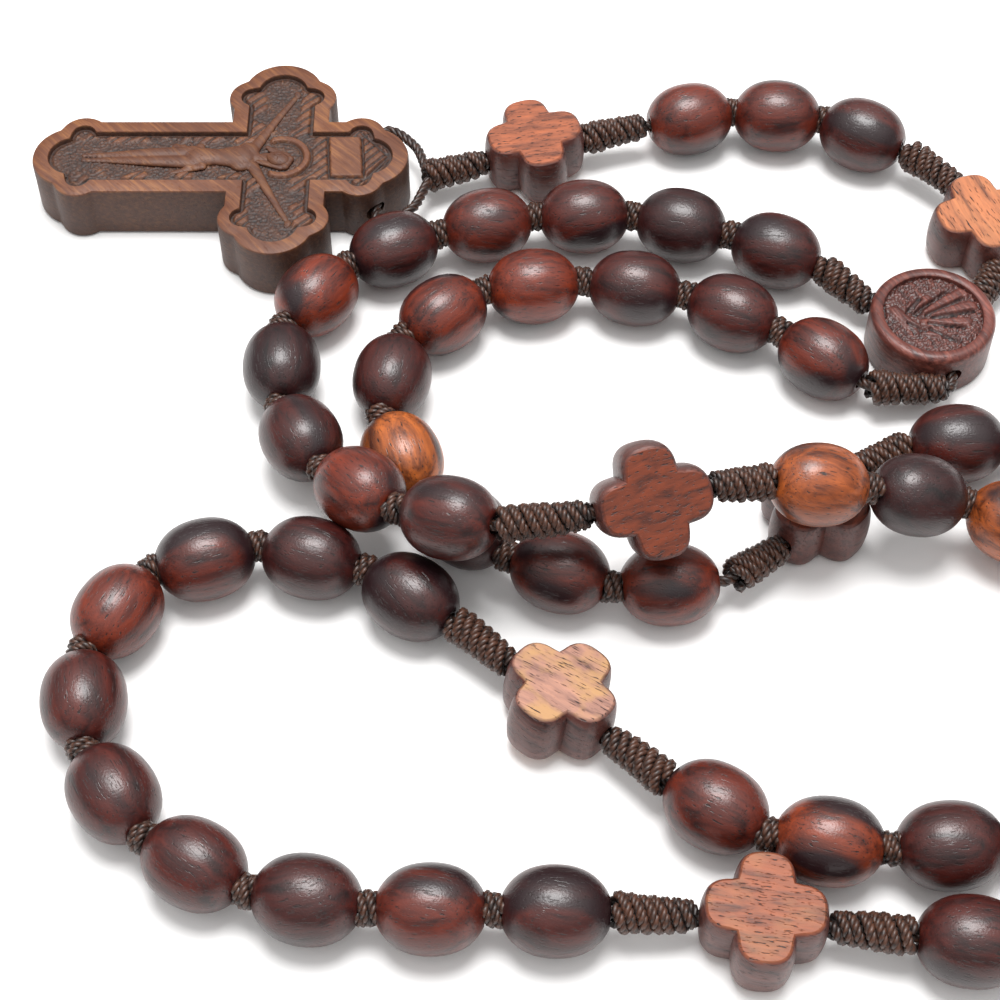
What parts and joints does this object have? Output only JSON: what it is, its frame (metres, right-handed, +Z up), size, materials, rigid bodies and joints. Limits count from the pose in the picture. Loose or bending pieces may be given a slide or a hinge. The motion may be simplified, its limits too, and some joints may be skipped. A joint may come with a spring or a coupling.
{
  "type": "rosary",
  "caption": "Wooden rosary laid on a table: oval and cross-shaped beads on a knotted brown cord, a round medal and a carved crucifix on a short pendant.",
  "frame": {"origin": "centre of the medal's back face, which lies on the table", "axes": "+Z up, away from the table; the crucifix's foot points along -X, and its arms lie along Y"},
  "size_m": [0.1288, 0.1101, 0.0199],
  "materials": {
    "bead_wood": "turned reddish-brown hardwood, satin polish",
    "cross_wood": "sawn and sanded reddish-brown hardwood, grain along the cord",
    "medal_wood": "turned plum-brown hardwood with a stippled, burnt field",
    "crucifix_wood": "carved tan-brown hardwood with dark burnt recesses",
    "knotted_cord": "twisted dark brown nylon cord"
  },
  "bodies": {
    "root": {"medal": "medal_wood", "decade4_beads02to05": "bead_wood", "decade4_beads06to09": "bead_wood", "loop_cord": "knotted_cord", "pendant_cord_upper": "knotted_cord"},
    "pendant_middle": {"pendant_cord_middle": "knotted_cord"},
    "pendant_lower": {"pendant_cord_lower": "knotted_cord"},
    "crucifix": {"crucifix": "crucifix_wood"},
    "cross_bead_1": {"cross_bead_1": "cross_wood"},
    "cross_bead_2": {"cross_bead_2": "cross_wood"},
    "cross_bead_3": {"cross_bead_3": "cross_wood"},
    "cross_bead_4": {"cross_bead_4": "cross_wood"},
    "cross_bead_6": {"cross_bead_6": "cross_wood"},
    "cross_bead_5": {"cross_bead_5": "cross_wood"},
    "decade1_bead01": {"decade1_bead01": "bead_wood"},
    "decade1_bead02": {"decade1_bead02": "bead_wood"},
    "decade1_bead03": {"decade1_bead03": "bead_wood"},
    "decade1_bead04": {"decade1_bead04": "bead_wood"},
    "decade1_bead05": {"decade1_bead05": "bead_wood"},
    "decade1_bead06": {"decade1_bead06": "bead_wood"},
    "decade1_bead07": {"decade1_bead07": "bead_wood"},
    "decade1_bead08": {"decade1_bead08": "bead_wood"},
    "decade1_bead09": {"decade1_bead09": "bead_wood"},
    "decade1_bead10": {"decade1_bead10": "bead_wood"},
    "decade2_bead01": {"decade2_bead01": "bead_wood"},
    "decade2_bead02": {"decade2_bead02": "bead_wood"},
    "decade2_bead03": {"decade2_bead03": "bead_wood"},
    "decade2_bead04": {"decade2_bead04": "bead_wood"},
    "decade2_bead05": {"decade2_bead05": "bead_wood"},
    "decade2_bead06": {"decade2_bead06": "bead_wood"},
    "decade2_bead07": {"decade2_bead07": "bead_wood"},
    "decade2_bead08": {"decade2_bead08": "bead_wood"},
    "decade2_bead09": {"decade2_bead09": "bead_wood"},
    "decade2_bead10": {"decade2_bead10": "bead_wood"},
    "decade3_bead01": {"decade3_bead01": "bead_wood"},
    "decade3_bead02": {"decade3_bead02": "bead_wood"},
    "decade3_bead03": {"decade3_bead03": "bead_wood"},
    "decade3_bead04": {"decade3_bead04": "bead_wood"},
    "decade3_bead05": {"decade3_bead05": "bead_wood"},
    "decade3_bead06": {"decade3_bead06": "bead_wood"},
    "decade3_bead07": {"decade3_bead07": "bead_wood"},
    "decade3_bead08": {"decade3_bead08": "bead_wood"},
    "decade3_bead09": {"decade3_bead09": "bead_wood"},
    "decade3_bead10": {"decade3_bead10": "bead_wood"},
    "decade4_bead01": {"decade4_bead01": "bead_wood"},
    "decade4_bead10": {"decade4_bead10": "bead_wood"},
    "decade5_bead10": {"decade5_bead10": "bead_wood"},
    "decade5_bead09": {"decade5_bead09": "bead_wood"},
    "decade5_bead08": {"decade5_bead08": "bead_wood"},
    "decade5_bead07": {"decade5_bead07": "bead_wood"},
    "decade5_bead06": {"decade5_bead06": "bead_wood"},
    "decade5_bead05": {"decade5_bead05": "bead_wood"},
    "decade5_bead04": {"decade5_bead04": "bead_wood"},
    "decade5_bead03": {"decade5_bead03": "bead_wood"},
    "decade5_bead02": {"decade5_bead02": "bead_wood"},
    "decade5_bead01": {"decade5_bead01": "bead_wood"},
    "pendant_bead3": {"pendant_bead3": "bead_wood"},
    "pendant_bead2": {"pendant_bead2": "bead_wood"},
    "pendant_bead1": {"pendant_bead1": "bead_wood"}
  },
  "joints": [
    {"name": "pendant_fold_upper", "type": "hinge", "parent": "root", "child": "pendant_middle", "pos_m": [0.00012, 0.02513, 0.00396], "axis": [0.5909, 0.8068, 0], "range_deg": [0, 45]},
    {"name": "pendant_fold_lower", "type": "hinge", "parent": "pendant_middle", "child": "pendant_lower", "pos_m": [-0.02873, 0.02896, 0.00405], "axis": [-0.218, 0.9759, 0], "range_deg": [0, 45]},
    {"name": "crucifix_swing", "type": "hinge", "parent": "pendant_lower", "child": "crucifix", "pos_m": [-0.0585, 0.0218, 0.00335], "axis": [0, 1, 0], "range_deg": [0, 80]},
    {"name": "cross_bead_1_turn", "type": "hinge", "parent": "root", "child": "cross_bead_1", "pos_m": [-0.03105, -0.02983, 0.01357], "axis": [0.9686, 0.2449, 0.0439], "range_deg": [-10, 10]},
    {"name": "cross_bead_2_turn", "type": "hinge", "parent": "root", "child": "cross_bead_2", "pos_m": [-0.03956, -0.04541, 0.00354], "axis": [-0.7584, 0.6518, 0.0082], "continuous": true},
    {"name": "cross_bead_3_turn", "type": "hinge", "parent": "root", "child": "cross_bead_3", "pos_m": [-0.02242, -0.06731, 0.00358], "axis": [0.9961, -0.0877, -0.0007], "range_deg": [-8, 8]},
    {"name": "cross_bead_4_turn", "type": "hinge", "parent": "root", "child": "cross_bead_4", "pos_m": [-0.01409, -0.02351, 0.0034], "axis": [-0.6338, -0.7735, -0.0001], "range_deg": [-10, 10]},
    {"name": "cross_bead_6_turn", "type": "hinge", "parent": "root", "child": "cross_bead_6", "pos_m": [0.00696, 0.01406, 0.00332], "axis": [-0.2617, 0.9644, 0.0377], "continuous": true},
    {"name": "cross_bead_5_turn", "type": "hinge", "parent": "pendant_lower", "child": "cross_bead_5", "pos_m": [-0.04114, 0.02567, 0.00351], "axis": [-0.9594, -0.2805, -0.0289], "continuous": true},
    {"name": "decade1_bead01_turn", "type": "hinge", "parent": "root", "child": "decade1_bead01", "pos_m": [-0.01542, 0.01006, 0.00398], "axis": [-0.9177, 0.3936, 0.0534], "continuous": true},
    {"name": "decade1_bead02_turn", "type": "hinge", "parent": "root", "child": "decade1_bead02", "pos_m": [-0.02545, 0.01358, 0.00423], "axis": [-0.9637, 0.267, -0.0058], "continuous": true},
    {"name": "decade1_bead03_turn", "type": "hinge", "parent": "root", "child": "decade1_bead03", "pos_m": [-0.03589, 0.01493, 0.0042], "axis": [-0.9999, -0.0132, 0], "continuous": true},
    {"name": "decade1_bead04_turn", "type": "hinge", "parent": "root", "child": "decade1_bead04", "pos_m": [-0.04639, 0.01362, 0.0042], "axis": [-0.9725, -0.2329, 0], "continuous": true},
    {"name": "decade1_bead05_turn", "type": "hinge", "parent": "root", "child": "decade1_bead05", "pos_m": [-0.05638, 0.01009, 0.0042], "axis": [-0.9031, -0.4295, 0], "continuous": true},
    {"name": "decade1_bead06_turn", "type": "hinge", "parent": "root", "child": "decade1_bead06", "pos_m": [-0.0643, 0.0036, 0.00418], "axis": [-0.5947, -0.8039, -0.0031], "continuous": true},
    {"name": "decade1_bead07_turn", "type": "hinge", "parent": "root", "child": "decade1_bead07", "pos_m": [-0.06738, -0.00616, 0.00424], "axis": [0.0256, -0.9996, 0.0136], "continuous": true},
    {"name": "decade1_bead08_turn", "type": "hinge", "parent": "root", "child": "decade1_bead08", "pos_m": [-0.06477, -0.0163, 0.0054], "axis": [0.4529, -0.8691, 0.1992], "continuous": true},
    {"name": "decade1_bead09_turn", "type": "hinge", "parent": "root", "child": "decade1_bead09", "pos_m": [-0.05845, -0.02459, 0.00812], "axis": [0.7011, -0.6478, 0.2979], "continuous": true},
    {"name": "decade1_bead10_turn", "type": "hinge", "parent": "root", "child": "decade1_bead10", "pos_m": [-0.0497, -0.03009, 0.01104], "axis": [0.9038, -0.3566, 0.2365], "continuous": true},
    {"name": "decade2_bead01_turn", "type": "hinge", "parent": "root", "child": "decade2_bead01", "pos_m": [-0.01496, -0.02643, 0.01131], "axis": [0.9582, 0.1285, -0.2556], "continuous": true},
    {"name": "decade2_bead02_turn", "type": "hinge", "parent": "root", "child": "decade2_bead02", "pos_m": [-0.00494, -0.02529, 0.00804], "axis": [0.9287, 0.087, -0.3604], "continuous": true},
    {"name": "decade2_bead03_turn", "type": "hinge", "parent": "root", "child": "decade2_bead03", "pos_m": [0.00481, -0.0266, 0.0052], "axis": [0.9237, -0.3395, -0.1773], "continuous": true},
    {"name": "decade2_bead04_turn", "type": "hinge", "parent": "root", "child": "decade2_bead04", "pos_m": [0.01267, -0.03261, 0.00422], "axis": [0.5836, -0.812, -0.011], "continuous": true},
    {"name": "decade2_bead05_turn", "type": "hinge", "parent": "root", "child": "decade2_bead05", "pos_m": [0.01562, -0.04205, 0.00418], "axis": [-0.0182, -0.9998, 0.0039], "continuous": true},
    {"name": "decade2_bead06_turn", "type": "hinge", "parent": "root", "child": "decade2_bead06", "pos_m": [0.0124, -0.05146, 0.0042], "axis": [-0.5957, -0.8032, 0], "continuous": true},
    {"name": "decade2_bead07_turn", "type": "hinge", "parent": "root", "child": "decade2_bead07", "pos_m": [0.0045, -0.05794, 0.0042], "axis": [-0.9036, -0.4284, 0], "continuous": true},
    {"name": "decade2_bead08_turn", "type": "hinge", "parent": "root", "child": "decade2_bead08", "pos_m": [-0.00558, -0.06045, 0.0042], "axis": [-0.999, -0.0455, 0], "continuous": true},
    {"name": "decade2_bead09_turn", "type": "hinge", "parent": "root", "child": "decade2_bead09", "pos_m": [-0.01615, -0.06004, 0.00421], "axis": [-0.9924, 0.1233, 0.0028], "continuous": true},
    {"name": "decade2_bead10_turn", "type": "hinge", "parent": "root", "child": "decade2_bead10", "pos_m": [-0.02586, -0.05655, 0.00402], "axis": [-0.8426, 0.5371, -0.0393], "continuous": true},
    {"name": "decade3_bead01_turn", "type": "hinge", "parent": "root", "child": "decade3_bead01", "pos_m": [-0.05347, -0.03431, 0.0041], "axis": [-0.8301, 0.5571, 0.0251], "continuous": true},
    {"name": "decade3_bead02_turn", "type": "hinge", "parent": "root", "child": "decade3_bead02", "pos_m": [-0.06306, -0.02996, 0.00422], "axis": [-0.9667, 0.2559, -0.0033], "continuous": true},
    {"name": "decade3_bead03_turn", "type": "hinge", "parent": "root", "child": "decade3_bead03", "pos_m": [-0.07329, -0.03009, 0.0042], "axis": [-0.9598, -0.2808, 0], "continuous": true},
    {"name": "decade3_bead04_turn", "type": "hinge", "parent": "root", "child": "decade3_bead04", "pos_m": [-0.08106, -0.03602, 0.0042], "axis": [-0.5177, -0.8556, 0], "continuous": true},
    {"name": "decade3_bead05_turn", "type": "hinge", "parent": "root", "child": "decade3_bead05", "pos_m": [-0.08312, -0.04573, 0.0042], "axis": [0.1181, -0.993, 0], "continuous": true},
    {"name": "decade3_bead06_turn", "type": "hinge", "parent": "root", "child": "decade3_bead06", "pos_m": [-0.07937, -0.0553, 0.0042], "axis": [0.5862, -0.8102, 0], "continuous": true},
    {"name": "decade3_bead07_turn", "type": "hinge", "parent": "root", "child": "decade3_bead07", "pos_m": [-0.07159, -0.06219, 0.0042], "axis": [0.8754, -0.4833, 0], "continuous": true},
    {"name": "decade3_bead08_turn", "type": "hinge", "parent": "root", "child": "decade3_bead08", "pos_m": [-0.06163, -0.06558, 0.00421], "axis": [0.9883, -0.1523, 0.0016], "continuous": true},
    {"name": "decade3_bead09_turn", "type": "hinge", "parent": "root", "child": "decade3_bead09", "pos_m": [-0.05095, -0.06647, 0.00424], "axis": [0.9999, -0.0144, 0.0048], "continuous": true},
    {"name": "decade3_bead10_turn", "type": "hinge", "parent": "root", "child": "decade3_bead10", "pos_m": [-0.04021, -0.06662, 0.00414], "axis": [0.9996, -0.0131, -0.0232], "continuous": true},
    {"name": "decade4_bead01_turn", "type": "hinge", "parent": "root", "child": "decade4_bead01", "pos_m": [-0.00481, -0.0694, 0.00412], "axis": [0.9944, -0.1023, 0.0252], "continuous": true},
    {"name": "decade4_bead10_turn", "type": "hinge", "parent": "root", "child": "decade4_bead10", "pos_m": [0.00064, -0.01598, 0.004], "axis": [-0.9987, -0.0165, -0.0489], "continuous": true},
    {"name": "decade5_bead10_turn", "type": "hinge", "parent": "root", "child": "decade5_bead10", "pos_m": [-0.02886, -0.03285, 0.004], "axis": [-0.9951, -0.0879, 0.0451], "continuous": true},
    {"name": "decade5_bead09_turn", "type": "hinge", "parent": "root", "child": "decade5_bead09", "pos_m": [-0.03928, -0.0315, 0.00422], "axis": [-0.9413, 0.3374, -0.0041], "continuous": true},
    {"name": "decade5_bead08_turn", "type": "hinge", "parent": "root", "child": "decade5_bead08", "pos_m": [-0.04845, -0.02615, 0.0042], "axis": [-0.7572, 0.6532, 0], "continuous": true},
    {"name": "decade5_bead07_turn", "type": "hinge", "parent": "root", "child": "decade5_bead07", "pos_m": [-0.05474, -0.01774, 0.0042], "axis": [-0.4112, 0.9115, 0], "continuous": true},
    {"name": "decade5_bead06_turn", "type": "hinge", "parent": "root", "child": "decade5_bead06", "pos_m": [-0.05601, -0.00761, 0.0042], "axis": [0.1761, 0.9844, 0], "continuous": true},
    {"name": "decade5_bead05_turn", "type": "hinge", "parent": "root", "child": "decade5_bead05", "pos_m": [-0.05096, 0.00089, 0.0042], "axis": [0.7835, 0.6214, 0], "continuous": true},
    {"name": "decade5_bead04_turn", "type": "hinge", "parent": "root", "child": "decade5_bead04", "pos_m": [-0.04147, 0.00481, 0.0042], "axis": [0.9925, 0.1226, 0], "continuous": true},
    {"name": "decade5_bead03_turn", "type": "hinge", "parent": "root", "child": "decade5_bead03", "pos_m": [-0.03077, 0.00455, 0.0042], "axis": [0.9853, -0.1711, 0], "continuous": true},
    {"name": "decade5_bead02_turn", "type": "hinge", "parent": "root", "child": "decade5_bead02", "pos_m": [-0.02071, 0.00104, 0.00422], "axis": [0.8779, -0.4788, 0.0038], "continuous": true},
    {"name": "decade5_bead01_turn", "type": "hinge", "parent": "root", "child": "decade5_bead01", "pos_m": [-0.01172, -0.0049, 0.00396], "axis": [0.7838, -0.6188, -0.0521], "continuous": true},
    {"name": "pendant_bead3_turn", "type": "hinge", "parent": "pendant_middle", "child": "pendant_bead3", "pos_m": [-0.00444, 0.02749, 0.0041], "axis": [-0.8873, 0.4605, 0.027], "continuous": true},
    {"name": "pendant_bead2_turn", "type": "hinge", "parent": "pendant_middle", "child": "pendant_bead2", "pos_m": [-0.01383, 0.0304, 0.00423], "axis": [-0.9928, 0.1199, -0.0005], "continuous": true},
    {"name": "pendant_bead1_turn", "type": "hinge", "parent": "pendant_middle", "child": "pendant_bead1", "pos_m": [-0.02369, 0.02999, 0.00414], "axis": [-0.9796, -0.2001, -0.018], "continuous": true}
  ]
}
